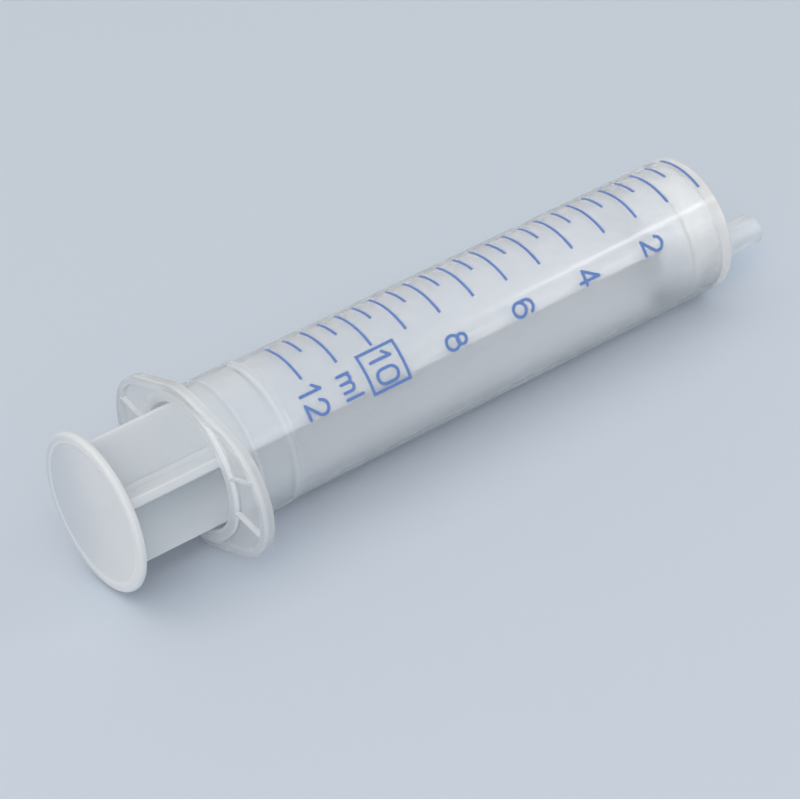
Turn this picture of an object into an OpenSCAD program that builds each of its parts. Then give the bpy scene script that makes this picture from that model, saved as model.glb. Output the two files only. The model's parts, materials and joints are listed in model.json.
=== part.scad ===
// Two-part syringe: a clear barrel with an off-centre slip nozzle, and a one-piece plunger.
// The origin is the centre of the barrel's shoulder. +X points out of the nozzle and +Z is up,
// so the scale lies on top, the wings lie along Y and the nozzle sits below the barrel's axis.

/* [Scale] */
// Edge of a cube that holds one millilitre
ml_edge = 10; // [9.6:0.1:10.4]
// Millilitres at the last line of the scale
capacity = 12; // [11:1:14]
// Nominal millilitres: the frame goes round the numeral that lies nearest
nominal = 10; // [6:2:10]

/* [Tube] */
// Radius of the bore that the plunger slides in
bore_r = 7.95; // [7:0.05:9]
// Thickness of the tube's wall
wall_t = 0.91; // [0.8:0.01:1.4]
// Thickness of the wall that closes the nozzle's end
end_wall = 1.15; // [0.8:0.05:2]
// Rounding of the shoulder's outer edge
shoulder_round = 0.25; // [0.15:0.05:1.2]
// Rounding of the bore's inner corner
floor_round = 0.4; // [0.1:0.1:0.6]
// Length of bore between the stop bead and the mouth
guide_len = 9.17; // [7:0.01:14]
// Gap between the rear lip and the stop bead with the plunger drawn right out
stop_gap = 0.05; // [0.03:0.01:0.1]
// Height of the stop bead that keeps the plunger in
bead_h = 0.15; // [0.1:0.05:0.3]
// Radius of the stop bead's round section
bead_round = 0.9; // [0.6:0.1:1.2]
// Chamfer round the mouth of the bore
mouth_chamfer = 0.4; // [0.1:0.05:0.6]
// Length of the slightly wider bore behind the mouth
relief_len = 4.45; // [2:0.05:6]
// How far the bore is wider there
relief_step = 0.1; // [0.05:0.05:0.15]

/* [Collar] */
// Length of the collar in front of the finger flange
collar_len = 8.8; // [2:0.1:12]
// Height of the collar over the tube
collar_step = 0.2; // [0.1:0.05:0.5]
// Length of the slope at the collar's front end
collar_taper = 0.8; // [0.2:0.1:1.5]
// Size of the slope where the collar meets the flange
collar_slope = 0.5; // [0.2:0.1:1]

/* [Finger flange] */
// Thickness of the flange
flange_t = 1.5; // [1.2:0.1:2.5]
// How far the flange's narrow sides stand past the thumb disc
flange_lip = 0.41; // [0:0.01:0.9]
// How far each wing reaches past the tube
wing_reach = 6.65; // [4:0.05:9]
// Radius of each wing's round end
wing_end_r = 8.7; // [7:0.1:9.5]
// Width of the rim round each wing's pocket
rim_w = 0.9; // [0.6:0.1:1.4]
// Width of the plain ring between the tube and the pockets
ring_w = 0.65; // [0.6:0.05:0.8]
// Depth of the pockets in the flange's back
pocket_depth = 0.8; // [0.4:0.05:0.9]
// Thickness of the two ribs across each pocket
web_rib_t = 0.25; // [0.25:0.05:0.9]
// Angle of the pocket ribs from the line through both wings
web_rib_angle = 14.5; // [8:0.5:22]

/* [Nozzle] */
// Length of the nozzle past the shoulder
nozzle_len = 10.7; // [8:0.05:12]
// Radius of the nozzle at its tip
nozzle_tip_r = 2; // [1.96:0.01:2.1]
// Distance from the nozzle's axis to the nearest side of the bore
nozzle_inset = 2.75; // [2.6:0.05:4.5]
// Radius of the passage through the nozzle
lumen_r = 0.9; // [0.6:0.05:1.2]
// Chamfer round the nozzle's tip
tip_chamfer = 0.25; // [0.1:0.05:0.4]

/* [Plunger stem] */
// Distance between the thumb disc and the finger flange with the plunger pushed home
finger_gap = 12.26; // [9:0.02:20]
// Thickness of the stem's ribs
stem_rib_t = 1.2; // [0.9:0.05:1.8]
// Clearance between the ribs' edges and the stop bead
rib_clear = 0.1; // [0.1:0.05:0.6]
// Radius of the round core where the ribs cross
core_r = 1.4; // [1:0.1:2.5]
// Turn of the ribs about the axis, from +Z towards the front wing
stem_angle = 63; // [0:1:89]
// Rounding of the ribs' ends behind the piston head
stem_round = 2.2; // [1:0.1:3]

/* [Thumb disc] */
// Radius of the thumb disc
disc_r = 10; // [8.5:0.1:12]
// Thickness of the thumb disc
disc_t = 1; // [0.9:0.05:2.2]
// Rounding of the thumb disc's edge
disc_round = 0.4; // [0.2:0.05:0.4]
// Width of the raised border round the thumb face
border_w = 1.1; // [0.7:0.1:2]
// Depth of the thumb face below its border
thumb_depth = 0.12; // [0.05:0.01:0.3]

/* [Piston head] */
// Gap between the head and the end wall with the plunger pushed home
home_gap = 0.1; // [0.05:0.01:0.2]
// Length of the head from its front face to the back of its rear lip
head_len = 4.3; // [3.4:0.1:6]
// Clearance between the sealing lips and the bore
lip_clear = 0.03; // [0.02:0.01:0.08]
// Width of each sealing lip
lip_w = 0.8; // [0.6:0.05:1.2]
// Rounding of the lips' edges
lip_round = 0.25; // [0.1:0.05:0.28]
// Depth of the groove between the lips
groove_depth = 0.45; // [0.3:0.05:1]
// Length of the cone behind the rear lip
cone_len = 3.6; // [2:0.1:5]
// Step between the rear lip and the cone
cone_step = 0.32; // [0.28:0.02:0.8]
// How far the neck lies below the stem's edges
neck_drop = 1.85; // [1:0.05:2.1]

/* [Print] */
// Thickness of the ink on the tube
ink_t = 0.05; // [0.03:0.01:0.1]
// Depth that the ink keys into the surface
ink_bite = 0.02; // [0.01:0.01:0.05]
// Width of a scale line
line_w = 0.35; // [0.2:0.05:0.6]
// Angle where every scale line starts, from +Z towards the front wing
line_start_angle = -15; // [-25:1:-5]
// Angle where a half-millilitre line ends
half_end_angle = 10; // [0:1:20]
// Angle where a millilitre line ends
full_end_angle = 33; // [25:1:40]
// Height of a numeral
digit_h = 3.2; // [2.4:0.1:4]
// Width of a numeral
digit_w = 2.15; // [1.6:0.05:2.4]
// Width of the numerals' strokes
stroke_w = 0.4; // [0.25:0.05:0.5]
// Distance round the tube from the lines' ends to the middle of the last digit
digit_offset = 4; // [3.2:0.1:5]
// Distance between two digits' middles
digit_pitch = 2.45; // [2.2:0.05:3.2]
// Sideways reach of the flag on the digit one
flag_w = 0.75; // [0.5:0.05:1]
// Height of the unit's low letter
low_letter_h = 1.9; // [1.5:0.1:2.3]
// Height of the unit's tall letter
tall_letter_h = 2.6; // [2.4:0.1:3.2]
// Width of the unit's low letter
low_letter_w = 2.5; // [2:0.1:3]
// Gap between the unit's letters
letter_gap = 0.45; // [0.3:0.05:0.8]
// Length of the frame along the tube
frame_len = 5.55; // [4.6:0.05:6.5]
// Height of the frame round the tube
frame_h = 5.3; // [4.8:0.05:6.5]
// Width of the frame's stroke
frame_w = 0.37; // [0.2:0.01:0.5]
// Distance round the tube from the lines' ends to the frame
frame_gap = 0.33; // [0.2:0.01:0.8]

/* [Hidden] */
// Taper of a slip nozzle, as a share of its length that its diameter loses
taper_share = 0.06;
// Angle between the stem's ribs
quarter = 90;
// Millilitres between numerals
numeral_step = 2;
// Overrun of every cut and overlap of every joint inside one moulding
over = 0.2;
// How far the flange's straight sides lie inside the tangents of its circles
tuck = 0.01;
// Shares of a digit's own width and height
four_stem_share = 0.74;
four_bar_share = 0.28;
eight_top_share = 0.71;
// Angles where the round strokes of the six and the two end
six_hook_angle = 22;
two_turn_angle = 40;
// Step of the points that close a sector
sector_step = 45;
$fn = 96;

// The numeral that is framed
framed = numeral_step * round(nominal / numeral_step);

// One millilitre of travel in this bore, and the full stroke
ml_len = ml_edge * ml_edge * ml_edge / (PI * bore_r * bore_r);
stroke_len = capacity * ml_len;

// Radii of the barrel
barrel_r = bore_r + wall_t;
collar_r = barrel_r + collar_step;
ring_r = barrel_r + ring_w;
bead_r = bore_r - bead_h;
mouth_r = bore_r + relief_step;

// Radii of the plunger
rib_tip_r = bead_r - rib_clear;
lip_r = bore_r - lip_clear;
neck_r = rib_tip_r - neck_drop;
cone_top_r = lip_r - cone_step;
groove_r = lip_r - groove_depth;

// Places along the axis, all behind the shoulder at zero
floor_x = -end_wall;
zero_x = floor_x - home_gap;
rear_lip_x = zero_x - head_len;
neck_x = rear_lip_x - cone_len;
bead_half_w = sqrt(bead_round * bead_round - (bead_round - bead_h) * (bead_round - bead_h));
bead_x = rear_lip_x - stroke_len - bead_half_w - stop_gap;
flange_x = bead_x - guide_len;
flange_front_x = flange_x + flange_t;
collar_end_x = flange_front_x + collar_len;
disc_inner_x = flange_x - finger_gap;
disc_x = disc_inner_x - disc_t;

// The flange's outline: a middle circle and one circle at each wing, joined by tangents
flange_mid_r = disc_r + flange_lip;
half_span = barrel_r + wing_reach;
wing_x = half_span - wing_end_r;

// The nozzle
nozzle_drop = bore_r - nozzle_inset;
nozzle_root_r = nozzle_tip_r + nozzle_len * taper_share / 2;

// Centre lines of the glyphs
glyph_w = digit_w - stroke_w;
glyph_h = digit_h - stroke_w;
bowl_r = glyph_w / 2;

function line_name(n) = str("line_", n, "_ml");
function half_name(n) = str("line_", n, "_and_a_half_ml");
function numeral_name(n) = str("numeral_", n);

// Place of a volume mark along the axis
function mark_x(volume) = zero_x - volume * ml_len;

// Angle that a distance round the tube's surface covers
function arc_angle(s) = s / barrel_r * 180 / PI;

// Turns a shape that stands on Z so that it points along X, with its own X axis pointing up
module along_x() {
    rotate([180, 0, 0]) rotate([0, 90, 0]) children();
}

// A solid of revolution about X, whose profile holds (radius, place along X)
module turned() {
    along_x() rotate_extrude() children();
}

// A disc between two places on the axis
module drum(x, len, r) {
    translate([x, 0, 0]) along_x() cylinder(h = len, r = r);
}

// A cone between two places on the axis
module taper(x, len, r_back, r_front) {
    translate([x, 0, 0]) along_x() cylinder(h = len, r1 = r_back, r2 = r_front);
}

// Half section of a rounded disc: its outer corners have the radius e
module rounded_section(r, x, len, e) {
    translate([0, x]) square([r - e, len]);
    translate([0, x + e]) square([r, len - 2 * e]);
    translate([r - e, x + e]) circle(r = e);
    translate([r - e, x + len - e]) circle(r = e);
}

// Outline of the flange drawn in by d: (up, towards the front wing). Its straight sides lie
// a hair inside the tangents, so that each crosses the two circles that it joins.
module flange_outline(d) {
    mid = flange_mid_r - d;
    end = wing_end_r - d;
    lean = acos((mid - end) / wing_x);
    mid_in = mid - tuck;
    end_in = end - tuck;
    circle(r = mid);
    for (side = [-1, 1]) {
        translate([0, side * wing_x]) circle(r = end);
        polygon([
            [mid_in * sin(lean), side * mid_in * cos(lean)],
            [end_in * sin(lean), side * (wing_x + end_in * cos(lean))],
            [-end_in * sin(lean), side * (wing_x + end_in * cos(lean))],
            [-mid_in * sin(lean), side * mid_in * cos(lean)]
        ]);
    }
}

// Outline of the pockets in the flange's back
module pocket_outline() {
    difference() {
        flange_outline(rim_w);
        circle(r = ring_r);
        for (side = [-1, 1])
            rotate(quarter + side * web_rib_angle)
                square([2 * half_span, web_rib_t], center = true);
    }
}

module flange() {
    difference() {
        translate([flange_x, 0, 0]) along_x() linear_extrude(flange_t) flange_outline(0);
        translate([flange_x - over, 0, 0])
            along_x() linear_extrude(pocket_depth + over) pocket_outline();
    }
}

// Outside of the tube, with its collar and its rounded shoulder
module tube_outside() {
    turned() {
        translate([0, flange_x]) square([barrel_r, -flange_x - shoulder_round]);
        translate([0, flange_x]) square([barrel_r - shoulder_round, -flange_x]);
        translate([barrel_r - shoulder_round, -shoulder_round]) circle(r = shoulder_round);
    }
    drum(flange_x, flange_t + collar_len - collar_taper, collar_r);
    taper(collar_end_x - collar_taper, collar_taper, collar_r, barrel_r);
    taper(flange_front_x, collar_slope, collar_r + collar_slope, collar_r);
}

// Room inside the tube, with its rounded corner and its wider, chamfered mouth
module bore_room() {
    depth = floor_x - flange_x;
    turned() {
        translate([0, flange_x - over]) square([bore_r, depth + over - floor_round]);
        translate([0, flange_x - over]) square([bore_r - floor_round, depth + over]);
        translate([bore_r - floor_round, floor_x - floor_round]) circle(r = floor_round);
    }
    drum(flange_x - over, over + relief_len - relief_step, mouth_r);
    taper(flange_x + relief_len - relief_step, relief_step, mouth_r, bore_r);
    taper(flange_x, mouth_chamfer, mouth_r + mouth_chamfer, mouth_r);
    drum(flange_x - over, over, mouth_r + mouth_chamfer);
}

// The round bead inside the bore that stops the rear lip
module stop_bead() {
    turned() intersection() {
        translate([bead_r + bead_round, bead_x]) circle(r = bead_round);
        translate([bead_r, bead_x - bead_round]) square([bead_h + wall_t / 2, 2 * bead_round]);
    }
}

module nozzle() {
    chamfer_x = nozzle_len - tip_chamfer;
    chamfer_r = nozzle_tip_r + tip_chamfer * taper_share / 2;
    translate([0, 0, -nozzle_drop]) {
        taper(0, chamfer_x, nozzle_root_r, chamfer_r);
        taper(chamfer_x, tip_chamfer, chamfer_r, nozzle_tip_r - tip_chamfer);
        drum(floor_x / 2, -floor_x / 2, nozzle_root_r);
    }
}

module barrel() {
    color([0.8, 0.86, 0.92, 0.5]) difference() {
        union() {
            difference() {
                union() {
                    tube_outside();
                    flange();
                }
                bore_room();
            }
            stop_bead();
            nozzle();
        }
        translate([0, 0, -nozzle_drop])
            drum(floor_x - over, nozzle_len - floor_x + 2 * over, lumen_r);
    }
}

// One plate of the cross-shaped stem, seen from the side: (along the axis, outwards)
module stem_plate_outline() {
    back_x = disc_inner_x - over;
    end_x = neck_x + over;
    translate([back_x, -rib_tip_r])
        square([end_x - stem_round - back_x, 2 * rib_tip_r]);
    translate([back_x, stem_round - rib_tip_r])
        square([end_x - back_x, 2 * (rib_tip_r - stem_round)]);
    for (side = [-1, 1])
        translate([end_x - stem_round, side * (rib_tip_r - stem_round)])
            circle(r = stem_round);
}

module stem() {
    for (turn = [0, quarter])
        rotate([stem_angle + turn + quarter, 0, 0])
            linear_extrude(stem_rib_t, center = true) stem_plate_outline();
    drum(disc_inner_x - over, neck_x - disc_inner_x + 2 * over, core_r);
}

module thumb_disc() {
    difference() {
        turned() rounded_section(disc_r, disc_x, disc_t, disc_round);
        drum(disc_x - over, thumb_depth + over, disc_r - border_w);
    }
}

module piston_head() {
    taper(neck_x, cone_len, neck_r, cone_top_r);
    drum(rear_lip_x, head_len - lip_round, groove_r);
    turned() {
        rounded_section(lip_r, rear_lip_x, lip_w, lip_round);
        rounded_section(lip_r, zero_x - lip_w, lip_w, lip_round);
    }
}

module plunger() {
    color([0.9, 0.92, 0.94]) {
        thumb_disc();
        stem();
        piston_head();
    }
}

// A curved patch: its middle on the axis, its length along it, the angles that it covers,
// and how far it goes past the ink's two surfaces
module patch(x, len, start, end, past) {
    translate([x - len / 2, 0, 0])
        along_x() rotate([0, 0, start]) rotate_extrude(angle = end - start)
            translate([barrel_r - ink_bite - past, 0])
                square([ink_t + ink_bite + 2 * past, len]);
}

module ink_patch(x, len, start, end) {
    patch(x, len, start, end, 0);
}

// A glyph printed with its middle at the place x and the distance s from the lines' ends.
// Its outline is drawn as (reading direction, towards the nozzle).
module ink_glyph(x, s) {
    angle = full_end_angle + arc_angle(s);
    reach = arc_angle(digit_h);
    intersection() {
        ink_patch(x, 2 * digit_h, angle - reach, angle + reach);
        translate([x, 0, 0]) rotate([angle, 0, 0]) translate([0, 0, bore_r])
            rotate([0, 0, -quarter]) linear_extrude(2 * wall_t) children();
    }
}

// A straight stroke with round ends
module bar(from, to) {
    step = to - from;
    translate(from) rotate(atan2(step.y, step.x))
        translate([0, -stroke_w / 2]) square([norm(step), stroke_w]);
    translate(from) circle(r = stroke_w / 2);
    translate(to) circle(r = stroke_w / 2);
}

// A full round stroke
module loop(centre, r) {
    translate(centre) difference() {
        circle(r = r + stroke_w / 2);
        circle(r = r - stroke_w / 2);
    }
}

// A round stroke from one angle to another
module bow(centre, r, start, end) {
    steps = ceil((end - start) / sector_step);
    far = 2 * (r + stroke_w);
    intersection() {
        loop(centre, r);
        translate(centre) polygon(concat([[0, 0]], [
            for (k = [0 : steps]) let (a = start + (end - start) * k / steps)
                [far * cos(a), far * sin(a)]
        ]));
    }
}

module digit_one() {
    translate([0, -glyph_h / 2]) {
        bar([flag_w / 2, 0], [flag_w / 2, glyph_h]);
        bar([-flag_w / 2, glyph_h - flag_w], [flag_w / 2, glyph_h]);
    }
}

module digit_two() {
    bowl = [bowl_r, glyph_h - bowl_r];
    touch = bowl + bowl_r * [cos(two_turn_angle), -sin(two_turn_angle)];
    translate([-glyph_w / 2, -glyph_h / 2]) {
        bar([0, 0], [glyph_w, 0]);
        bar([0, 0], touch);
        bow(bowl, bowl_r, -two_turn_angle, 2 * quarter);
    }
}

module digit_four() {
    translate([-glyph_w / 2, -glyph_h / 2]) {
        bar([four_stem_share * glyph_w, 0], [four_stem_share * glyph_w, glyph_h]);
        bar([0, four_bar_share * glyph_h], [glyph_w, four_bar_share * glyph_h]);
        bar([0, four_bar_share * glyph_h], [four_stem_share * glyph_w, glyph_h]);
    }
}

module digit_six() {
    translate([-glyph_w / 2, -glyph_h / 2]) {
        loop([bowl_r, bowl_r], bowl_r);
        bar([0, bowl_r], [0, glyph_h - bowl_r]);
        bow([bowl_r, glyph_h - bowl_r], bowl_r, six_hook_angle, 2 * quarter);
    }
}

module digit_eight() {
    top_r = eight_top_share * bowl_r;
    translate([0, -glyph_h / 2]) {
        loop([0, bowl_r], bowl_r);
        loop([0, glyph_h - top_r], top_r);
    }
}

module digit_zero() {
    rise = glyph_h / 2 - bowl_r;
    bow([0, rise], bowl_r, 0, 2 * quarter);
    bow([0, -rise], bowl_r, 2 * quarter, 4 * quarter);
    for (side = [-bowl_r, bowl_r])
        bar([side, -rise], [side, rise]);
}

module digit(value) {
    if (value == 0) digit_zero();
    if (value == 1) digit_one();
    if (value == 2) digit_two();
    if (value == 4) digit_four();
    if (value == 6) digit_six();
    if (value == 8) digit_eight();
}

module ink() {
    color([0.24, 0.36, 0.68]) children();
}

module full_line(n) {
    ink() ink_patch(mark_x(n), line_w, line_start_angle, full_end_angle);
}

module half_line(n) {
    ink() ink_patch(mark_x(n + 1 / 2), line_w, line_start_angle, half_end_angle);
}

module numeral(n) {
    tens = floor(n / 10);
    ink() {
        if (tens > 0) ink_glyph(mark_x(n), digit_offset - digit_pitch) digit(tens);
        ink_glyph(mark_x(n), digit_offset) digit(n % 10);
    }
}

module low_letter() {
    arch_r = (low_letter_w - stroke_w) / 4;
    rise = low_letter_h - stroke_w;
    translate([-2 * arch_r, -(tall_letter_h - stroke_w) / 2]) {
        bar([0, 0], [0, rise]);
        for (k = [0, 1]) {
            bow([(2 * k + 1) * arch_r, rise - arch_r], arch_r, 0, 2 * quarter);
            bar([2 * (k + 1) * arch_r, 0], [2 * (k + 1) * arch_r, rise - arch_r]);
        }
    }
}

module tall_letter() {
    rise = tall_letter_h - stroke_w;
    bar([0, -rise / 2], [0, rise / 2]);
}

// The unit stands at the line after the framed numeral and ends where the numerals end
module unit_ml() {
    tall_s = digit_offset + (digit_w - stroke_w) / 2 - letter_gap / 2;
    low_s = tall_s - stroke_w / 2 - letter_gap - low_letter_w / 2;
    ink() {
        ink_glyph(mark_x(framed + 1), low_s) low_letter();
        ink_glyph(mark_x(framed + 1), tall_s) tall_letter();
    }
}

module nominal_frame() {
    start = full_end_angle + arc_angle(frame_gap);
    end = start + arc_angle(frame_h);
    stroke = arc_angle(frame_w);
    ink() difference() {
        ink_patch(mark_x(framed), frame_len, start, end);
        patch(mark_x(framed), frame_len - 2 * frame_w, start + stroke, end - stroke, over);
    }
}

barrel();
plunger();
for (n = [0 : capacity])
    full_line(n);
for (n = [0 : capacity - 1])
    half_line(n);
for (n = [numeral_step : numeral_step : capacity])
    numeral(n);
unit_ml();
nominal_frame();
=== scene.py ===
"""Looks of the two-part syringe: a clear barrel with a printed scale, and a milky plunger."""

import json
import logging
import math
from dataclasses import dataclass
from enum import Enum
from typing import Any, Callable

import bpy
from mathutils import Matrix, Vector

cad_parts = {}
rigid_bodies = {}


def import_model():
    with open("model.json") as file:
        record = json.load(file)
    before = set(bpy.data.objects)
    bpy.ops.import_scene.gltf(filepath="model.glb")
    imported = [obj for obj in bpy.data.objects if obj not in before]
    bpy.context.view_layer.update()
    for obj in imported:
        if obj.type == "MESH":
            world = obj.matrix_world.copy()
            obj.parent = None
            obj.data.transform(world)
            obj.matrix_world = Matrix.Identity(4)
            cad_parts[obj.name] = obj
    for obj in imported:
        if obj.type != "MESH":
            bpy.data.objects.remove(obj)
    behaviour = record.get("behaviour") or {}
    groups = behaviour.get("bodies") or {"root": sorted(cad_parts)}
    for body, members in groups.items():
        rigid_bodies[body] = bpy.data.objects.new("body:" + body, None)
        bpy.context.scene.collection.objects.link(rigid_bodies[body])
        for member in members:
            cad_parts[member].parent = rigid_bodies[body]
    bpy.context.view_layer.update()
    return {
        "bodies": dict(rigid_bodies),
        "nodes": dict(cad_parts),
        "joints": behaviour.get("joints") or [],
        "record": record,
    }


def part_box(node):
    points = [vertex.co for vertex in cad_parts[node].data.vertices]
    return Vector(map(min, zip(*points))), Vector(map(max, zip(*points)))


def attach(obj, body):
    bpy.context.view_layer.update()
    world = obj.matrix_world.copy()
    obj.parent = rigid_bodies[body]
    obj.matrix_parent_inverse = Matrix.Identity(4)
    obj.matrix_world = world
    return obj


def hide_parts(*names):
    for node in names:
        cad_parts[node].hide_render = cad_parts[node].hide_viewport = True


LOG = logging.getLogger("syringe")

MM = 0.001
FULL_TURN = 2 * math.pi
QUARTER_TURN = math.pi / 2
MERGE = 0.0005 * MM
SLIVER = 0.003 * MM
FLAT_ANGLE = 0.3
SMOOTH_ANGLE = 32
FRONT, OUTWARD, BACK, INWARD, ROUND = 0, 90, 180, 270, 360
MOULDINGS = ("barrel", "plunger")
WHITE = (1, 1, 1, 1)
MIDDLE = 0.5

Point = tuple[float, float]
Triple = tuple[float, float, float]
Colour = tuple[float, float, float, float]


class Cut(Enum):
    """Ways to combine two closed shapes."""

    ADD = "UNION"
    TAKE = "DIFFERENCE"


class Sock:
    """A shader socket that can be used in Python expressions."""

    def __init__(self, paint: "Paint", socket: Any) -> None:
        """Keep the material's builder and the socket.

        Args:
            paint: builder of the material that holds the socket.
            socket: the output socket.
        """
        self.paint = paint
        self.socket = socket

    def maths(self, operation: str, *values: Any) -> "Sock":
        """Return a Math node's result for numbers or sockets."""
        inputs = dict(enumerate(values))
        return self.paint.node("ShaderNodeMath", {"operation": operation}, inputs)

    def __add__(self, other: Any) -> "Sock":
        """Return the sum."""
        return self.maths("ADD", self, other)

    def __radd__(self, other: Any) -> "Sock":
        """Return the sum."""
        return self.maths("ADD", other, self)

    def __sub__(self, other: Any) -> "Sock":
        """Return the difference."""
        return self.maths("SUBTRACT", self, other)

    def __rsub__(self, other: Any) -> "Sock":
        """Return the difference, turned round."""
        return self.maths("SUBTRACT", other, self)

    def __mul__(self, other: Any) -> "Sock":
        """Return the product."""
        return self.maths("MULTIPLY", self, other)

    def __rmul__(self, other: Any) -> "Sock":
        """Return the product."""
        return self.maths("MULTIPLY", other, self)

    def __lt__(self, other: Any) -> "Sock":
        """Return 1 where it is less and 0 elsewhere."""
        return self.maths("LESS_THAN", self, other)


class Paint:
    """Builds the nodes of a material or of the world."""

    def __init__(self, owner: Any, finish: str = "ShaderNodeOutputMaterial") -> None:
        """Start from empty nodes.

        Args:
            owner: the material or the world.
            finish: the type of its output node.
        """
        owner.use_nodes = True
        self.owner = owner
        self.finish = finish
        self.tree = owner.node_tree
        self.tree.nodes.clear()

    @classmethod
    def material(cls, name: str) -> "Paint":
        """Start a new material."""
        return cls(bpy.data.materials.new(name))

    def add(self, kind: str, settings: dict | None, inputs: dict | None) -> bpy.types.Node:
        """Add any node.

        Args:
            kind: the node's type.
            settings: its own settings, set first.
            inputs: values or sockets for its inputs, by name or number.

        Returns:
            The node.
        """
        node = self.tree.nodes.new(kind)
        for key, value in (settings or {}).items():
            setattr(node, key, value)
        for key, value in (inputs or {}).items():
            if isinstance(value, Sock):
                self.tree.links.new(value.socket, node.inputs[key])
            else:
                node.inputs[key].default_value = value
        return node

    def node(self, kind: str, settings: dict | None = None, inputs: dict | None = None,
             output: int | str = 0) -> Sock:
        """Add any node and return the output of a name or number."""
        return Sock(self, self.add(kind, settings, inputs).outputs[output])

    def place(self, stretch: Triple = (1, 1, 1)) -> Sock:
        """Read the piece's own coordinates, scaled along each axis."""
        own = self.node("ShaderNodeTexCoord", output="Object")
        return self.node("ShaderNodeMapping", {}, {"Vector": own, "Scale": stretch})

    def reach(self, place: Sock) -> Sock:
        """Measure how far a place lies from the X axis."""
        flat = self.node("ShaderNodeVectorMath", {"operation": "MULTIPLY"},
                         {0: place, 1: (0, 1, 1)})
        return self.node("ShaderNodeVectorMath", {"operation": "LENGTH"}, {0: flat}, "Value")

    def along(self, place: Sock) -> Sock:
        """Measure how far along the X axis a place lies."""
        return self.node("ShaderNodeSeparateXYZ", {}, {0: place})

    def across(self, place: Sock) -> Sock:
        """Measure how far along the Y axis a place lies."""
        return self.node("ShaderNodeSeparateXYZ", {}, {0: place}, 1)

    def rise(self, value: Sock, low: float, high: float) -> Sock:
        """Rise gently from 0 at a low value to 1 at a high one."""
        return self.node("ShaderNodeMapRange", {"interpolation_type": "SMOOTHSTEP"},
                         {"Value": value, "From Min": low, "From Max": high})

    def ring(self, value: Sock, middle: float, width: float) -> Sock:
        """Rise to 1 at a middle value and fall to 0 within a width on both sides."""
        up = self.rise(value, middle - width, middle)
        return up * (1 - self.rise(value, middle, middle + width))

    def noise(self, place: Sock, grain: float, detail: float = 3) -> Sock:
        """Add soft noise from 0 to 1, with patches of a grain in metres."""
        return self.node("ShaderNodeTexNoise", {},
                         {"Vector": place, "Scale": 1 / grain, "Detail": detail})

    def blend(self, share: Sock, low: Any, high: Any) -> Sock:
        """Mix two colours by the share of the second."""
        return self.node("ShaderNodeMix", {"data_type": "RGBA"}, {0: share, 6: low, 7: high}, 2)

    def bump(self, height: Sock, depth: float) -> Sock:
        """Turn a height from 0 to 1 into a normal, with the depth of 1 in metres."""
        return self.node("ShaderNodeBump", {},
                         {"Height": height, "Distance": depth, "Strength": 1})

    def surface(self, shader: Sock) -> Any:
        """Send the shader to the output and return the finished material or world."""
        self.add(self.finish, {}, {"Surface": shader})
        return self.owner


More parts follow.
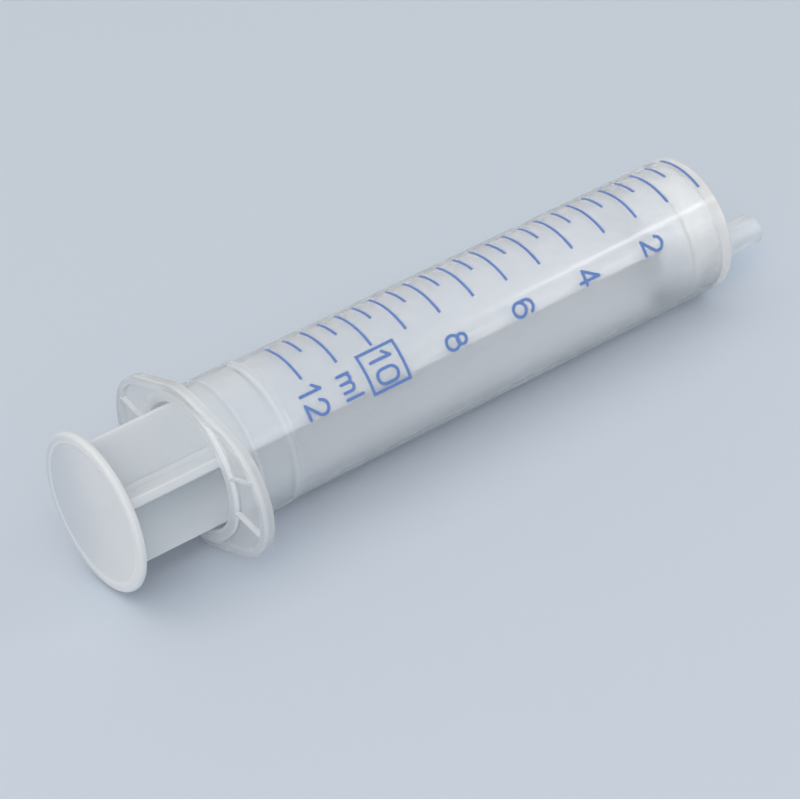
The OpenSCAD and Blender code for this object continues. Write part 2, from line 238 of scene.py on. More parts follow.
@dataclass(frozen=True)
class ClearPolypropylene:
    """Clear plastic with a milky haze, thicker in the flange, which lets lamps through, with
    painted highlights as milky bands at the collar step, bead and relief, painted light at the end
    wall and round the mouth, and painted shade on the nozzle.
    """

    flange_x: float
    rim_x: float
    end_x: float
    tube_r: float
    ring_r: float
    collar_x: float
    bead_x: float
    relief_x: float
    pale: Colour = (0.88, 0.905, 0.93, 1)
    cloudy: Colour = (0.93, 0.945, 0.96, 1)
    milk: Colour = (0.84, 0.86, 0.88, 1)
    shade: Colour = (0.9, 0.91, 0.93, 1)
    refraction: float = 1.49
    outer_roughness: float = 0.14
    inner_roughness: float = 0.28
    roughness_swing: float = 0.06
    outer_haze: float = 0.18
    inner_haze: float = 0.12
    flange_haze: float = 0.2
    rim_haze: float = 0.06
    # painted light: the end wall is made much milkier, and its milk lighter
    end_haze: float = 0.5
    nozzle_haze: float = -0.2
    # painted highlights: milky bands at the collar step, stop bead and relief stand in for the pale
    # arcs that light draws there
    step_painted_highlight: float = 0.06
    bead_painted_highlight: float = 0.05
    relief_painted_highlight: float = 0.08
    # painted light: the ring round the mouth is made milkier and lighter, over the shade in the gap
    # between stem and bore
    mouth_painted_light: float = 0.4
    step_width: float = 0.5 * MM
    bead_width: float = 0.6 * MM
    relief_width: float = 0.35 * MM
    # painted shade: the nozzle's glass is tinted darker and bluer than the tube, standing in for
    # the backdrop seen through it
    nozzle_painted_shade: Colour = (0.64, 0.74, 0.84, 1)
    # painted light: lighter milk colour for the end wall
    end_painted_light: Colour = (0.95, 0.955, 0.96, 1)
    haze_swing: float = 0.03
    soak: float = 0.5
    soak_depth: float = 1.2 * MM
    cloud: float = 6 * MM
    flow_stretch: float = 0.15
    grain: float = 0.35 * MM
    grain_detail: float = 2
    grain_depth: float = 0.004 * MM
    blur: float = 0.3 * MM

    def masks(self, paint: Paint, place: Sock) -> dict[str, Sock]:
        """Mark the regions of the moulding, with 1 in each and 0 elsewhere.

        Args:
            paint: the material's builder.
            place: the piece's own coordinates.

        Returns:
            The masks by name.
        """
        reach = paint.reach(place)
        back = -1 * paint.along(place)
        rim = paint.rise(back, -self.rim_x - self.blur, -self.rim_x)
        return {
            "inner": reach < self.tube_r - self.blur,
            "flange": paint.rise(back, -self.flange_x - self.blur, -self.flange_x),
            "rim": rim,
            "end": 1 - paint.rise(back, -self.end_x, self.blur - self.end_x),
            "nozzle": 1 - paint.rise(back, -self.blur, self.blur),
            "step": paint.ring(back, -self.collar_x, self.step_width),
            "bead": paint.ring(back, -self.bead_x, self.bead_width),
            "relief": paint.ring(back, -self.relief_x, self.relief_width),
            "mouth": rim * (1 - paint.rise(reach, self.ring_r, self.ring_r + self.blur)),
        }

    def haze(self, masks: dict[str, Sock], flow: Sock) -> Sock:
        """Say how milky the plastic is from place to place; the bands at the collar step, bead and
        relief are painted highlights, and the extra milk at the end wall and round the mouth is
        painted light.

        Args:
            masks: the regions of the moulding.
            flow: noise stretched along the tube.

        Returns:
            The share of milk.
        """
        share = (self.outer_haze + (self.inner_haze - self.outer_haze) * masks["inner"]
                 + self.haze_swing * flow)
        for name, change in (("flange", self.flange_haze), ("rim", self.rim_haze),
                             ("end", self.end_haze), ("nozzle", self.nozzle_haze),
                             ("step", self.step_painted_highlight), ("bead", self.bead_painted_highlight),
                             ("relief", self.relief_painted_highlight), ("mouth", self.mouth_painted_light)):
            share = share + change * masks[name]
        return share

    def make(self) -> bpy.types.Material:
        """Mix clear and milky plastic, and let the lamps' light through; the end wall's milk
        carries painted light and the nozzle's glass painted shade.

        Returns:
            The material.
        """
        paint = Paint.material("clear_polypropylene")
        place = paint.place()
        flow = paint.noise(paint.place((self.flow_stretch, 1, 1)), self.cloud)
        masks = self.masks(paint, place)
        grain = paint.bump(paint.noise(place, self.grain, self.grain_detail) * masks["flange"],
                           self.grain_depth)
        roughness = (self.outer_roughness
                     + (self.inner_roughness - self.outer_roughness) * masks["inner"]
                     + self.roughness_swing * flow)
        tube = paint.blend(flow, self.pale, self.cloudy)
        glass = paint.node("ShaderNodeBsdfPrincipled", {}, {
            # painted shade on the nozzle
            "Base Color": paint.blend(masks["nozzle"], tube, self.nozzle_painted_shade),
            "Roughness": roughness, "IOR": self.refraction, "Transmission Weight": 1,
            "Normal": grain})
        milk = paint.node("ShaderNodeBsdfPrincipled", {}, {
            # painted light: the end wall's milk is lighter
            "Base Color": paint.blend(masks["end"], self.milk, self.end_painted_light),
            "Roughness": roughness, "IOR": self.refraction, "Subsurface Weight": self.soak,
            "Subsurface Radius": (1, 1, 1), "Subsurface Scale": self.soak_depth,
            "Normal": grain})
        body = paint.node("ShaderNodeMixShader", {},
                          {0: self.haze(masks, flow), 1: glass, 2: milk})
        see = paint.node("ShaderNodeBsdfTransparent", {}, {"Color": self.shade})
        shadow = paint.node("ShaderNodeLightPath", output="Is Shadow Ray")
        return paint.surface(paint.node("ShaderNodeMixShader", {}, {0: shadow, 1: body, 2: see}))


@dataclass(frozen=True)
class MilkyPolyethylene:
    """Soft white plastic that light soaks into, grained and frosted on the thumb disc, with painted
    shade on the stem and the disc's far side and painted light on the stem near the head.
    """

    disc_front: float
    step_r: float
    head_x: float
    thick: Colour = (0.9, 0.895, 0.88, 1)
    thick_warm: Colour = (0.92, 0.91, 0.885, 1)
    plate: Colour = (0.85, 0.855, 0.865, 1)
    plate_warm: Colour = (0.89, 0.885, 0.875, 1)
    # painted shade: the stem is coloured darker and bluer than the head and disc, standing in for
    # shade and the backdrop seen through its thin ribs
    thin: Colour = (0.65, 0.69, 0.725, 1)
    stem_shade_warm: Colour = (0.685, 0.71, 0.735, 1)
    # painted light: the stem grows lighter toward the head, from a place near the disc
    stem_painted_light: Colour = (0.78, 0.8, 0.815, 1)
    stem_painted_light_start: float = -78 * MM
    # painted shade: the disc's colour darkens toward +Y
    far: Colour = (0.62, 0.66, 0.72, 1)
    fade: float = 1.5 * MM
    disc_shade_share: float = 0.9
    soak: float = 0.7
    soak_depth: float = 1.6 * MM
    shine: float = 0.35
    roughness: float = 0.5
    roughness_swing: float = 0.1
    cloud: float = 4 * MM
    disc_shade_start_share: float = 1 / 3
    grain: float = 0.25 * MM
    grain_detail: float = 2
    grain_depth: float = 0.006 * MM
    disc_grain: float = 2.5
    frost: Colour = (0.88, 0.89, 0.9, 1)
    frost_width: float = 0.35 * MM
    frost_wander: float = 0.4 * MM

    def make(self) -> bpy.types.Material:
        """Colour the disc, the stem and the head, and let light soak in; the stem gets painted
        shade and painted light, and the disc painted shade toward +Y.

        Returns:
            The material.
        """
        paint = Paint.material("milky_polyethylene")
        place = paint.place()
        along = paint.along(place)
        cloud = paint.noise(place, self.cloud)
        grain = paint.noise(place, self.grain, self.grain_detail)
        disc = along < self.disc_front
        depth = 1 / self.disc_grain + (1 - 1 / self.disc_grain) * disc
        wander = self.frost_wander * (cloud - MIDDLE)
        border = paint.ring(self.step_r - paint.reach(place) + wander, 0, self.frost_width)
        stem = (paint.rise(along, self.disc_front - self.fade, self.disc_front)
                * (1 - paint.rise(along, self.head_x - self.fade, self.head_x)))
        thick = paint.blend(cloud, self.thick, self.thick_warm)
        body = paint.blend(disc, thick, paint.blend(cloud, self.plate, self.plate_warm))
        # painted light: share of the lighter stem colour, rising toward the head
        lit = paint.rise(along, self.stem_painted_light_start, self.head_x)
        slim = paint.blend(lit, paint.blend(cloud, self.thin, self.stem_shade_warm), self.stem_painted_light)
        # the stem gets its painted shade and painted light here
        body = paint.blend(stem, body, slim)
        # painted shade across the disc, darker toward +Y
        side = paint.rise(paint.across(place), -self.step_r * self.disc_shade_start_share, self.step_r)
        body = paint.blend(side * disc * self.disc_shade_share, body, self.far)
        return paint.surface(paint.node("ShaderNodeBsdfPrincipled", {}, {
            "Base Color": paint.blend(border * disc * grain, body, self.frost),
            "Roughness": self.roughness + self.roughness_swing * grain,
            "Specular IOR Level": self.shine,
            "Subsurface Weight": self.soak,
            "Subsurface Radius": (1, 1, 1),
            "Subsurface Scale": self.soak_depth,
            "Normal": paint.bump(grain * depth, self.grain_depth * self.disc_grain),
        }))


@dataclass(frozen=True)
class BlueInk:
    """Printing ink, a little thinner here and there."""

    thick: Colour = (0.09, 0.19, 0.51, 1)
    thin: Colour = (0.16, 0.28, 0.63, 1)
    roughness: float = 0.45
    roughness_swing: float = 0.1
    patch: float = 0.6 * MM

    def make(self) -> bpy.types.Material:
        """Lay the ink on in patches.

        Returns:
            The material.
        """
        paint = Paint.material("blue_ink")
        patch = paint.noise(paint.place(), self.patch)
        return paint.surface(paint.node("ShaderNodeBsdfPrincipled", {}, {
            "Base Color": paint.blend(patch, self.thick, self.thin),
            "Roughness": self.roughness + self.roughness_swing * patch,
        }))


class Bench:
    """Modelling steps, as done by hand."""

    @staticmethod
    def clear() -> None:
        """Leave edit mode and deselect everything."""
        if bpy.context.mode != "OBJECT":
            bpy.ops.object.mode_set(mode="OBJECT")
        bpy.ops.object.select_all(action="DESELECT")

    @staticmethod
    def pick(piece: bpy.types.Object) -> None:
        """Select one piece and make it active.

        Args:
            piece: the piece.
        """
        Bench.clear()
        piece.select_set(True)
        bpy.context.view_layer.objects.active = piece

    @staticmethod
    def named(name: str) -> bpy.types.Object:
        """Name the active piece and its mesh.

        Args:
            name: the name.

        Returns:
            The active piece.
        """
        piece = bpy.context.object
        piece.name = piece.data.name = name
        return piece

    @staticmethod
    def lathe(name: str, outline: list[Point], steps: int, drop: float = 0) -> bpy.types.Object:
        """Turn an outline about an axis along X.

        Args:
            name: the piece's name.
            outline: places along X and radii, from axis to axis.
            steps: sides of the turned shape.
            drop: how far the axis lies below the frame's own.

        Returns:
            The closed piece.
        """
        Bench.clear()
        bpy.ops.mesh.primitive_plane_add(size=MM)
        piece = Bench.named(name)
        bpy.ops.object.mode_set(mode="EDIT")
        bpy.ops.mesh.merge(type="CENTER")
        x, r = outline[0]
        bpy.ops.transform.translate(value=(x, 0, r - drop))
        for next_x, next_r in outline[1:]:
            bpy.ops.mesh.extrude_region_move(
                TRANSFORM_OT_translate={"value": (next_x - x, 0, next_r - r)})
            x, r = next_x, next_r
        bpy.ops.mesh.select_all(action="SELECT")
        bpy.ops.mesh.spin(steps=steps, angle=FULL_TURN, center=(0, 0, -drop), axis=(1, 0, 0))
        bpy.ops.mesh.select_all(action="SELECT")
        bpy.ops.mesh.remove_doubles(threshold=MERGE)
        bpy.ops.mesh.normals_make_consistent(inside=False)
        bpy.ops.object.mode_set(mode="OBJECT")
        return piece

    @staticmethod
    def wrap(name: str, drums: list[Point], back: float, depth: float,
             sides: int) -> bpy.types.Object:
        """Stretch a skin round discs that stand side by side along Y.

        Args:
            name: the piece's name.
            drums: place along Y and radius of each disc.
            back: place of the discs' back along X.
            depth: their depth along X.
            sides: sides of each disc.

        Returns:
            The closed piece.
        """
        Bench.clear()
        for number, (y, radius) in enumerate(drums):
            bpy.ops.mesh.primitive_cylinder_add(
                vertices=sides, radius=radius, depth=depth,
                location=(0, 0, 0) if number else (back + depth / 2, y, 0),
                rotation=(0, QUARTER_TURN, 0))
            if not number:
                piece = Bench.named(name)
                bpy.ops.object.transform_apply(location=True, rotation=True, scale=True)
                bpy.ops.object.mode_set(mode="EDIT")
            else:
                bpy.ops.transform.translate(value=(back + depth / 2, y, 0))
        bpy.ops.mesh.select_all(action="SELECT")
        bpy.ops.mesh.convex_hull()
        bpy.ops.mesh.select_all(action="SELECT")
        bpy.ops.mesh.dissolve_limited(angle_limit=math.radians(FLAT_ANGLE))
        bpy.ops.mesh.normals_make_consistent(inside=False)
        bpy.ops.object.mode_set(mode="OBJECT")
        return piece

    @staticmethod
    def block(name: str, low: Vector, high: Vector, turn: float = 0) -> bpy.types.Object:
        """Add a block and turn it about X.

        Args:
            name: the piece's name.
            low: its lowest corner before the turn.
            high: its highest corner before the turn.
            turn: the angle about X, in radians.

        Returns:
            The block.
        """
        Bench.clear()
        bpy.ops.mesh.primitive_cube_add(size=1, location=(low + high) / 2, scale=high - low)
        piece = Bench.named(name)
        bpy.ops.object.transform_apply(location=True, rotation=True, scale=True)
        Bench.turn(piece, turn)
        return piece

    @staticmethod
    def choose(piece: bpy.types.Object, test: Callable[[Vector], bool]) -> None:
        """Enter edit mode with some vertices selected.

        Args:
            piece: the piece.
            test: says of a vertex's place whether it is selected.
        """
        Bench.pick(piece)
        bpy.ops.object.mode_set(mode="EDIT")
        bpy.ops.mesh.select_mode(type="VERT")
        bpy.ops.mesh.select_all(action="DESELECT")
        bpy.ops.object.mode_set(mode="OBJECT")
        for vertex in piece.data.vertices:
            vertex.select = test(vertex.co)
        bpy.ops.object.mode_set(mode="EDIT")

    @staticmethod
    def combine(piece: bpy.types.Object, tool: bpy.types.Object, way: Cut) -> None:
        """Combine a piece with another closed shape, which is used up.

        Args:
            piece: the piece that changes.
            tool: the other shape.
            way: how they combine.
        """
        Bench.pick(piece)
        step = piece.modifiers.new("combine", "BOOLEAN")
        step.operation = way.value
        step.solver = "EXACT"
        step.object = tool
        bpy.ops.object.modifier_apply(modifier=step.name)
        bpy.data.objects.remove(tool)

    @staticmethod
    def bevel(piece: bpy.types.Object, width: float, segments: int, least: float) -> None:
        """Round the edges that are sharper than an angle.

        Args:
            piece: the piece.
            width: width of the rounding.
            segments: its segments.
            least: the angle in degrees.
        """
        Bench.pick(piece)
        step = piece.modifiers.new("bevel", "BEVEL")
        step.width = width
        step.segments = segments
        step.limit_method = "ANGLE"
        step.angle_limit = math.radians(least)
        bpy.ops.object.modifier_apply(modifier=step.name)

    @staticmethod
    def clean(piece: bpy.types.Object) -> None:
        """Merge points that lie closer than a sliver, and drop faces without an area.

        Args:
            piece: the piece.
        """
        Bench.pick(piece)
        bpy.ops.object.mode_set(mode="EDIT")
        bpy.ops.mesh.select_all(action="SELECT")
        bpy.ops.mesh.remove_doubles(threshold=SLIVER)
        bpy.ops.mesh.dissolve_degenerate(threshold=SLIVER)
        bpy.ops.object.mode_set(mode="OBJECT")

    @staticmethod
    def smooth(piece: bpy.types.Object) -> None:
        """Shade a piece smooth but for its sharp edges."""
        Bench.pick(piece)
        bpy.ops.object.shade_smooth_by_angle(angle=math.radians(SMOOTH_ANGLE))

    @staticmethod
    def level(piece: bpy.types.Object) -> None:
        """Let the large faces decide how the shading runs.

        Args:
            piece: the piece.
        """
        Bench.pick(piece)
        step = piece.modifiers.new("level", "WEIGHTED_NORMAL")
        step.keep_sharp = True
        bpy.ops.object.modifier_apply(modifier=step.name)

    @staticmethod
    def turn(piece: bpy.types.Object, angle: float) -> None:
        """Turn a piece about X and keep the turn in its mesh.

        Args:
            piece: the piece.
            angle: the angle in radians.
        """
        piece.matrix_world = Matrix.Rotation(angle, 4, "X")
        Bench.pick(piece)
        bpy.ops.object.transform_apply(location=True, rotation=True, scale=True)

    @staticmethod
    def dress(piece: bpy.types.Object, finish: bpy.types.Material) -> None:
        """Give a piece its material."""
        piece.data.materials.clear()
        piece.data.materials.append(finish)


def arc(middle: Point, radius: float, start: float, end: float, steps: int) -> list[Point]:
    """Return the points of an arc.

    Args:
        middle: its centre.
        radius: its radius.
        start: first angle in degrees, from FRONT (along X) to OUTWARD and on.
        end: last angle in degrees.
        steps: number of its chords.

    Returns:
        The points, both ends included.
    """
    angles = [math.radians(start + (end - start) * k / steps) for k in range(steps + 1)]
    return [(middle[0] + radius * math.cos(a), middle[1] + radius * math.sin(a)) for a in angles]


def shares(steps: int) -> list[float]:
    """List the shares from 0 to 1 in equal steps."""
    return [step / steps for step in range(steps + 1)]


def ease(share: float) -> float:
    """Turn a share into one that starts and ends gently."""
    return (1 - math.cos(math.pi * share)) / 2


@dataclass(frozen=True)
class Plan:
    """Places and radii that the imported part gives, in metres."""

    tube_r: float
    passage_r: float
    flange_back: float
    flange_front: float
    flange_mid_r: float
    half_span: float
    nozzle_tip: float
    nozzle_drop: float
    disc_back: float
    disc_face: float
    disc_r: float
    head_front: float

    @classmethod
    def read(cls, frame: dict) -> "Plan":
        """Work the plan out from the frame.


        Returns:
            The plan.
        """
        mounts = {mount["name"]: mount for mount in frame["record"]["mounts"]}
        barrel_low, barrel_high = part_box("barrel")
        plunger_low, plunger_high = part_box("plunger")
        return cls(
            tube_r=mounts["barrel_outside"]["dims"]["r_mm"] * MM,
            passage_r=mounts["nozzle_passage"]["dims"]["r_mm"] * MM,
            flange_back=barrel_low.x,
            flange_front=mounts["flange_front"]["pos_m"][0],
            flange_mid_r=barrel_high.z,
            half_span=barrel_high.y,
            nozzle_tip=barrel_high.x,
            nozzle_drop=-mounts["nozzle_passage"]["pos_m"][2],
            disc_back=plunger_low.x,
            disc_face=mounts["thumb_face"]["pos_m"][0],
            disc_r=plunger_high.z,
            head_front=plunger_high.x,
        )


@dataclass(frozen=True)
class Barrel:
    """The clear moulding: tube, collar, finger flange and nozzle."""

    plan: Plan
    wall: float = 0.91 * MM
    end_wall: float = 1.15 * MM
    shoulder_round: float = 0.25 * MM
    floor_round: float = 0.4 * MM
    mouth_round: float = 0.4 * MM
    guide: float = 9.17 * MM
    bead_h: float = 0.15 * MM
    bead_half_w: float = 0.55 * MM
    relief_len: float = 4.45 * MM
    relief_step: float = 0.1 * MM
    collar_len: float = 8.8 * MM
    collar_step: float = 0.2 * MM
    collar_slope: float = 0.8 * MM
    collar_fillet: float = 0.5 * MM
    wing_end_r: float = 8.7 * MM
    rim: float = 0.9 * MM
    ring: float = 0.65 * MM
    pocket: float = 0.8 * MM
    rib: float = 0.2 * MM
    rib_angle: float = 14.5
    edge_round: float = 0.22 * MM
    pocket_round: float = 0.12 * MM
    pocket_edge: float = 0.07 * MM
    nozzle_fillet: float = 0.25 * MM
    tip_round: float = 0.25 * MM
    taper: float = 0.03
    tip_r: float = 2 * MM
    sink: float = 0.3 * MM
    past: float = 1 * MM
    hair: float = 0.02 * MM
    fine_hair: float = 0.005 * MM
    sides: int = 144
    nozzle_sides: int = 72
    passage_sides: int = 48
    fillet_steps: int = 6
    shoulder_steps: int = 10
    bead_steps: int = 14
    floor_steps: int = 5
    small_steps: int = 4
    edge_segments: int = 4
    pocket_segments: int = 3
    rim_segments: int = 2
    edge_angle: float = 60
    pocket_angle: float = 40

    @property
    def bore_r(self) -> float:
        """Return the bore's radius."""
        return self.plan.tube_r - self.wall

    def outside(self) -> bpy.types.Object:
        """Turn the outside of the tube, with its collar and its shoulder.

        Returns:
            The closed shape.
        """
        plan, fillet, steps = self.plan, self.collar_fillet, self.fillet_steps
        collar_r = plan.tube_r + self.collar_step
        front = plan.flange_front
        collar_end = front + self.collar_len
        edge = self.shoulder_round
        return Bench.lathe("outside", [
            (front - self.sink, 0),
            (front - self.sink, collar_r + fillet),
            *arc((front + fillet, collar_r + fillet), fillet, BACK, INWARD, steps),
            *((collar_end - self.collar_slope * (1 - share),
               plan.tube_r + self.collar_step * (1 - ease(share))) for share in shares(steps)),
            *arc((-edge, plan.tube_r - edge), edge, OUTWARD, FRONT, self.shoulder_steps),
            (0, 0),
        ], self.sides)

    def inside(self) -> bpy.types.Object:
        """Turn the room inside the tube, with its mouth and its stop bead.

        Returns:
            The closed shape.
        """
        back, bore_r, mouth = self.plan.flange_back, self.bore_r, self.mouth_round
        mouth_r, relief_x = bore_r + self.relief_step, back + self.relief_len
        floor, corner = -self.end_wall, self.floor_round
        bead_x = back + self.guide
        return Bench.lathe("inside", [
            (back - self.past, 0),
            (back - self.past, mouth_r + mouth),
            *arc((back + mouth - self.hair, mouth_r + mouth), mouth, BACK, INWARD,
                 self.fillet_steps),
            *((relief_x - 2 * self.relief_step * (1 - share),
               mouth_r - self.relief_step * ease(share)) for share in shares(self.small_steps)),
            *((bead_x + self.bead_half_w * (2 * share - 1),
               bore_r - self.bead_h * ease(2 * share)) for share in shares(self.bead_steps)),
            *arc((floor - corner, bore_r - corner), corner, OUTWARD, FRONT, self.floor_steps),
            (floor, 0),
        ], self.sides)

    def nozzle(self) -> bpy.types.Object:
        """Turn the slip nozzle, with a small fillet at its root.

        Returns:
            The closed shape.
        """
        tip, fillet, edge = self.plan.nozzle_tip, self.nozzle_fillet, self.tip_round
        root_r = self.tip_r + tip * self.taper
        return Bench.lathe("nozzle", [
            (-self.sink, 0),
            (-self.sink, root_r + fillet),
            *arc((fillet - self.fine_hair, root_r + fillet), fillet, BACK, INWARD,
                 self.small_steps),
            *arc((tip - edge, self.tip_r - edge + edge * self.taper), edge, OUTWARD, FRONT,
                 self.fillet_steps),
            (tip, 0),
        ], self.nozzle_sides, self.plan.nozzle_drop)

    def passage(self) -> bpy.types.Object:
        """Turn the room inside the nozzle, flared a little at the tip.

        Returns:
            The closed shape.
        """
        tip, edge, radius = self.plan.nozzle_tip, self.pocket_edge, self.plan.passage_r
        return Bench.lathe("passage", [
            (-self.end_wall - self.sink, 0),
            (-self.end_wall - self.sink, radius),
            *arc((tip - edge + self.hair, radius + edge), edge, INWARD, ROUND,
                 self.small_steps),
            (tip + self.past, radius + edge),
            (tip + self.past, 0),
        ], self.passage_sides, self.plan.nozzle_drop)

    def drums(self, inset: float) -> list[Point]:
        """List the flange's three discs, each drawn in by an inset."""
        wing = self.plan.half_span - self.wing_end_r
        return [(-wing, self.wing_end_r - inset), (0, self.plan.flange_mid_r - inset),
                (wing, self.wing_end_r - inset)]

    def pockets(self) -> bpy.types.Object:
        """Make the tool that cuts the pockets in the flange's back.

        Returns:
            The closed shape.
        """
        back = self.plan.flange_back
        depth = self.pocket + self.past
        cutter = Bench.wrap("pockets", self.drums(self.rim), back - self.past, depth, self.sides)
        low, high = back - 2 * self.past, back + 2 * self.pocket
        ring_r = self.plan.tube_r + self.ring
        ring = Bench.lathe("ring", [(low, 0), (low, ring_r), (high, ring_r), (high, 0)], self.sides)
        Bench.combine(cutter, ring, Cut.TAKE)
        reach = self.plan.half_span
        for side in (-1, 1):
            bar = Bench.block("bar", Vector((low, -reach, -self.rib / 2)),
                              Vector((high, reach, self.rib / 2)),
                              math.radians(side * self.rib_angle))
            Bench.combine(cutter, bar, Cut.TAKE)
        Bench.bevel(cutter, self.pocket_round, self.pocket_segments, self.pocket_angle)
        Bench.clean(cutter)
        return cutter

    def flange(self) -> bpy.types.Object:
        """Make the finger flange with its rounded edges and its pockets.

        Returns:
            The closed shape.
        """
        plan = self.plan
        plate = Bench.wrap("flange", self.drums(0), plan.flange_back,
                           plan.flange_front - plan.flange_back, self.sides)
        Bench.bevel(plate, self.edge_round, self.edge_segments, self.edge_angle)
        Bench.combine(plate, self.pockets(), Cut.TAKE)
        Bench.clean(plate)
        Bench.bevel(plate, self.pocket_edge, self.rim_segments, self.edge_angle)
        Bench.clean(plate)
        return plate

    def build(self) -> bpy.types.Object:
        """Build the whole moulding.

        Returns:
            The barrel.
        """
        barrel = self.outside()
        barrel.name = barrel.data.name = "barrel_shell"
        Bench.combine(barrel, self.nozzle(), Cut.ADD)
        Bench.combine(barrel, self.passage(), Cut.TAKE)
        Bench.combine(barrel, self.flange(), Cut.ADD)
        Bench.clean(barrel)
        Bench.combine(barrel, self.inside(), Cut.TAKE)
        Bench.smooth(barrel)
        Bench.level(barrel)
        back, front, tube_r = self.plan.flange_back, self.plan.flange_front, self.plan.tube_r
        Bench.dress(barrel, ClearPolypropylene(
            flange_x=front,
            rim_x=back + self.pocket / 2,
            end_x=-self.end_wall - self.floor_round,
            tube_r=tube_r,
            ring_r=tube_r + self.ring,
            collar_x=front + self.collar_len - self.collar_slope / 2,
            bead_x=back + self.guide,
            relief_x=back + self.relief_len).make())
        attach(barrel, "barrel")
        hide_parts("barrel")
        return barrel


@dataclass(frozen=True)
class Plunger:
    """The milky moulding: thumb disc, cross-shaped stem and piston head."""

    plan: Plan
    disc_t: float = 1 * MM
    disc_round: float = 0.4 * MM
    border: float = 1.1 * MM
    border_slope: float = 0.35 * MM
    dish: float = 0.1 * MM
    stem_r: float = 7.7 * MM
    stem_rib: float = 1.2 * MM
    stem_angle: float = 63
    stem_round: float = 2.2 * MM
    core_r: float = 1.4 * MM
    rib_edge: float = 0.22 * MM
    neck_r: float = 5.85 * MM
    cone_len: float = 3.6 * MM
    cone_top_r: float = 7.6 * MM
    head_len: float = 4.3 * MM
    lip_r: float = 7.92 * MM
    lip_w: float = 0.8 * MM
    lip_round: float = 0.25 * MM
    groove_r: float = 7.47 * MM
    sink: float = 0.3 * MM
    sides: int = 144
    core_sides: int = 48
    dish_steps: int = 10
    border_steps: int = 5
    edge_steps: int = 6
    lip_steps: int = 4
    end_segments: int = 8
    rib_segments: int = 3
    rib_angle: float = 50
    plate_angles: tuple[float, ...] = (0, 90)

    @property
    def neck(self) -> float:
        """Return the neck's place along X."""
        return self.plan.head_front - self.head_len - self.cone_len

    def disc(self) -> bpy.types.Object:
        """Turn the thumb disc with its slim border.

        Returns:
            The closed shape.
        """
        plan, edge, steps = self.plan, self.disc_round, self.edge_steps
        inner = plan.disc_r - self.border
        face_r = inner - self.border_slope
        front = plan.disc_back + self.disc_t
        step = plan.disc_face - plan.disc_back
        return Bench.lathe("disc", [
            *((plan.disc_face + self.dish * (1 - share ** 2), face_r * share)
              for share in shares(self.dish_steps)),
            *((plan.disc_face - step * ease(share), face_r + self.border_slope * share)
              for share in shares(self.border_steps)[1:]),
            *arc((plan.disc_back + edge, plan.disc_r - edge), edge, BACK, OUTWARD, steps),
            *arc((front - edge, plan.disc_r - edge), edge, OUTWARD, FRONT, steps),
            (front, 0),
        ], self.sides)

    def lip(self, back: float) -> list[Point]:
        """Draw the outline of one sealing lip that starts at a place along X."""
        edge, steps = self.lip_round, self.lip_steps
        return [(back, self.groove_r),
                *arc((back + edge, self.lip_r - edge), edge, BACK, OUTWARD, steps),
                *arc((back + self.lip_w - edge, self.lip_r - edge), edge, OUTWARD, FRONT, steps)]

    def head(self) -> bpy.types.Object:
        """Turn the piston head, with its cone and its two lips.

        Returns:
            The closed shape.
        """
        front = self.plan.head_front
        rear = front - self.head_len
        return Bench.lathe("head", [
            (self.neck, 0),
            (self.neck, self.neck_r),
            (rear, self.cone_top_r),
            *self.lip(rear),
            (rear + self.lip_w, self.groove_r),
            *self.lip(front - self.lip_w),
            (front, 0),
        ], self.sides)

    def stem(self) -> bpy.types.Object:
        """Cross two plates over a round core.

        Returns:
            The closed shape.
        """
        start = self.plan.disc_back + self.disc_t - self.sink
        end = self.neck + self.sink
        core = [(start, 0), (start, self.core_r), (end, self.core_r), (end, 0)]
        stem = Bench.lathe("stem", core, self.core_sides)
        for angle in self.plate_angles:
            plate = Bench.block("plate", Vector((start, -self.stem_rib / 2, -self.stem_r)),
                                Vector((end, self.stem_rib / 2, self.stem_r)))
            for side in (-1, 1):
                Bench.choose(plate,
                             lambda place: abs(place.x - end) < MERGE and place.z * side > 0)
                bpy.ops.mesh.bevel(offset=self.stem_round, segments=self.end_segments,
                                   affect="EDGES")
                bpy.ops.object.mode_set(mode="OBJECT")
            Bench.bevel(plate, self.rib_edge, self.rib_segments, self.rib_angle)
            Bench.turn(plate, math.radians(self.stem_angle + angle))
            Bench.combine(stem, plate, Cut.ADD)
        return stem

    def build(self) -> bpy.types.Object:
        """Build the whole moulding.

        Returns:
            The plunger.
        """
        plunger = self.stem()
        plunger.name = plunger.data.name = "plunger_body"
        Bench.combine(plunger, self.disc(), Cut.ADD)
        Bench.combine(plunger, self.head(), Cut.ADD)
        Bench.smooth(plunger)
        Bench.level(plunger)
        Bench.dress(plunger, MilkyPolyethylene(
            disc_front=self.plan.disc_back + self.disc_t,
            step_r=self.plan.disc_r - self.border,
            head_x=self.plan.head_front - self.head_len).make())
        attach(plunger, "plunger")
        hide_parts("plunger")
        return plunger


@dataclass(frozen=True)
class Print:
    """The printed scale: every mark keeps its own solid and gets the ink."""

    nodes: dict

    def build(self) -> list[bpy.types.Object]:
        """Ink the marks.

        Returns:
            The marks.
        """
        ink = BlueInk().make()
        marks = [piece for name, piece in self.nodes.items() if name not in MOULDINGS]
        for mark in marks:
            Bench.dress(mark, ink)
            Bench.smooth(mark)
        return marks


@dataclass(frozen=True)
class Lamp:
    """A soft lamp: its place and aim in metres, its two sides, its power in watts, its colour."""

    name: str
    place: Triple
    aim: Triple
    size: Point
    power: float
    tint: Triple = (1, 1, 1)

    def hang(self) -> None:
        """Hang the lamp in the scene."""
        data = bpy.data.lights.new(self.name, "AREA")
        data.shape = "RECTANGLE"
        data.size, data.size_y = self.size
        data.energy = self.power
        data.color = self.tint
        light = bpy.data.objects.new(self.name, data)
        bpy.context.scene.collection.objects.link(light)
        place = Vector(self.place)
        turn = (Vector(self.aim) - place).to_track_quat("-Z", "Y").to_matrix().to_4x4()
        light.matrix_world = Matrix.Translation(place) @ turn


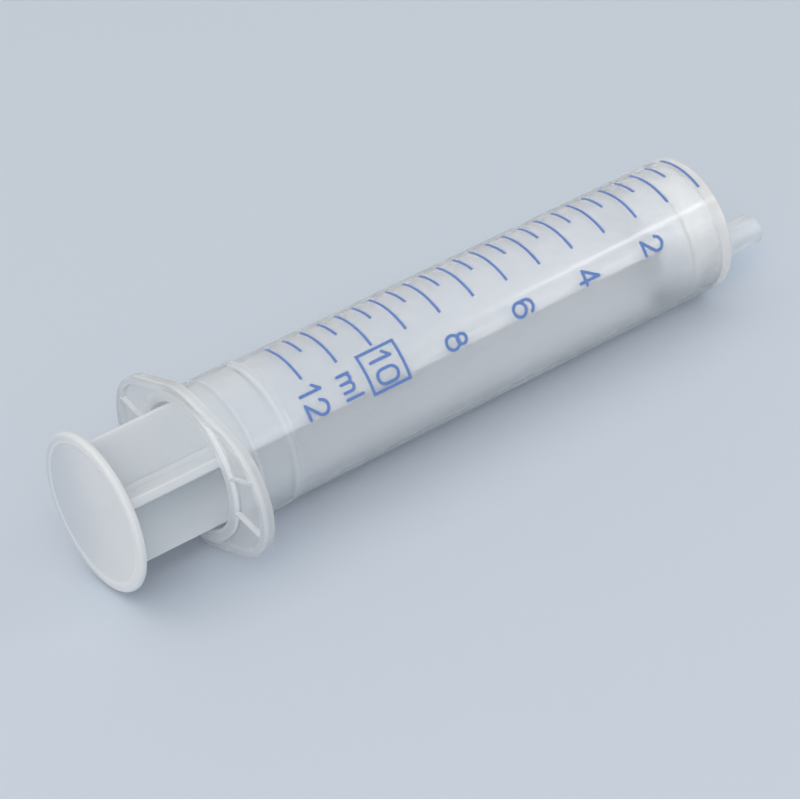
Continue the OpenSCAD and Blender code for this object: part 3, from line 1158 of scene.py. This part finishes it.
@dataclass(frozen=True)
class Studio:
    """Floor, lamps and camera."""

    plan: Plan
    floor_colour: Colour = (0.62, 0.69, 0.78, 1)
    floor_roughness: float = 0.6
    floor_size: float = 4
    world_strength: float = 0.5
    world_seen: float = 0.8
    lens: float = 153.8
    sensor: float = 36
    azimuth: float = 32.101
    elevation: float = 31.252
    roll: float = -8.332
    distance: float = 411.42 * MM
    nearest_share: float = 0.1
    target: Triple = (-45.752 * MM, 0, -4.804 * MM)
    lamps: tuple[Lamp, ...] = (
        Lamp("streak", (0.255, -0.28, 0.346), (-0.01, 0, 0), (0.08, 0.03), 0.075,
             (1, 0.96, 0.88)),
        Lamp("front", (-0.5, -0.5, 0.6), (-0.04, 0, 0), (0.7, 0.7), 2.6, (1, 0.985, 0.965)),
        Lamp("fill", (0.35, -0.3, 0.15), (-0.02, 0, 0), (0.3, 0.2), 0.27),
        Lamp("key", (-0.25, 0.35, 0.9), (-0.04, 0, 0), (0.8, 0.8), 2, (1, 0.985, 0.965)),
    )

    def camera(self) -> None:
        """Set the camera at the photograph's angle."""
        data = bpy.data.cameras.new("camera")
        data.lens = self.lens
        data.sensor_width = self.sensor
        data.clip_start = self.distance * self.nearest_share
        eye = bpy.data.objects.new("camera", data)
        bpy.context.scene.collection.objects.link(eye)
        azimuth, elevation = math.radians(self.azimuth), math.radians(self.elevation)
        look = Vector((math.sin(azimuth) * math.cos(elevation),
                       math.cos(azimuth) * math.cos(elevation), -math.sin(elevation)))
        place = Vector(self.target) - look * self.distance
        turn = look.to_track_quat("-Z", "Y").to_matrix().to_4x4()
        roll = Matrix.Rotation(math.radians(self.roll), 4, "Z")
        eye.matrix_world = Matrix.Translation(place) @ turn @ roll
        bpy.context.scene.camera = eye

    def floor(self) -> None:
        """Lay the pale floor so that the flange and the shoulder rest on it."""
        Bench.clear()
        bpy.ops.mesh.primitive_plane_add(size=self.floor_size)
        plane = Bench.named("floor")
        tube_r = self.plan.tube_r
        slope = math.atan2(self.plan.flange_mid_r - tube_r, -self.plan.flange_front)
        plane.matrix_world = (Matrix.Translation((0, 0, -tube_r))
                              @ Matrix.Rotation(-slope, 4, "Y"))
        paint = Paint.material("floor")
        Bench.dress(plane, paint.surface(paint.node("ShaderNodeBsdfPrincipled", {}, {
            "Base Color": self.floor_colour, "Roughness": self.floor_roughness})))

    def sky(self) -> None:
        """Light the scene evenly, and brighter where plastic mirrors the sky or shows it."""
        world = bpy.data.worlds.new("studio")
        bpy.context.scene.world = world
        paint = Paint(world, "ShaderNodeOutputWorld")
        mirrored = paint.node("ShaderNodeLightPath", output="Is Glossy Ray")
        shown = paint.node("ShaderNodeLightPath", output="Is Transmission Ray")
        glow = paint.node("ShaderNodeMapRange", {}, {
            "Value": mirrored.maths("MAXIMUM", mirrored, shown),
            "To Min": self.world_strength, "To Max": self.world_seen})
        paint.surface(paint.node("ShaderNodeBackground", {},
                                 {"Color": WHITE, "Strength": glow}))

    def build(self) -> None:
        """Set the whole studio up."""
        bpy.context.scene.view_settings.view_transform = "Standard"
        self.camera()
        self.floor()
        self.sky()
        for lamp in self.lamps:
            lamp.hang()


def report(piece: bpy.types.Object) -> None:
    """Log one finished piece."""
    LOG.info("%s: %d faces", piece.name, len(piece.data.polygons))


def main() -> None:
    """Build the syringe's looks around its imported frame."""
    logging.basicConfig(level=logging.INFO, format="%(name)s: %(message)s")
    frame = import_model()
    plan = Plan.read(frame)
    Studio(plan).build()
    report(Barrel(plan).build())
    report(Plunger(plan).build())
    for mark in Print(frame["nodes"]).build():
        report(mark)
    Bench.clear()


if __name__ == "__main__":
    main()
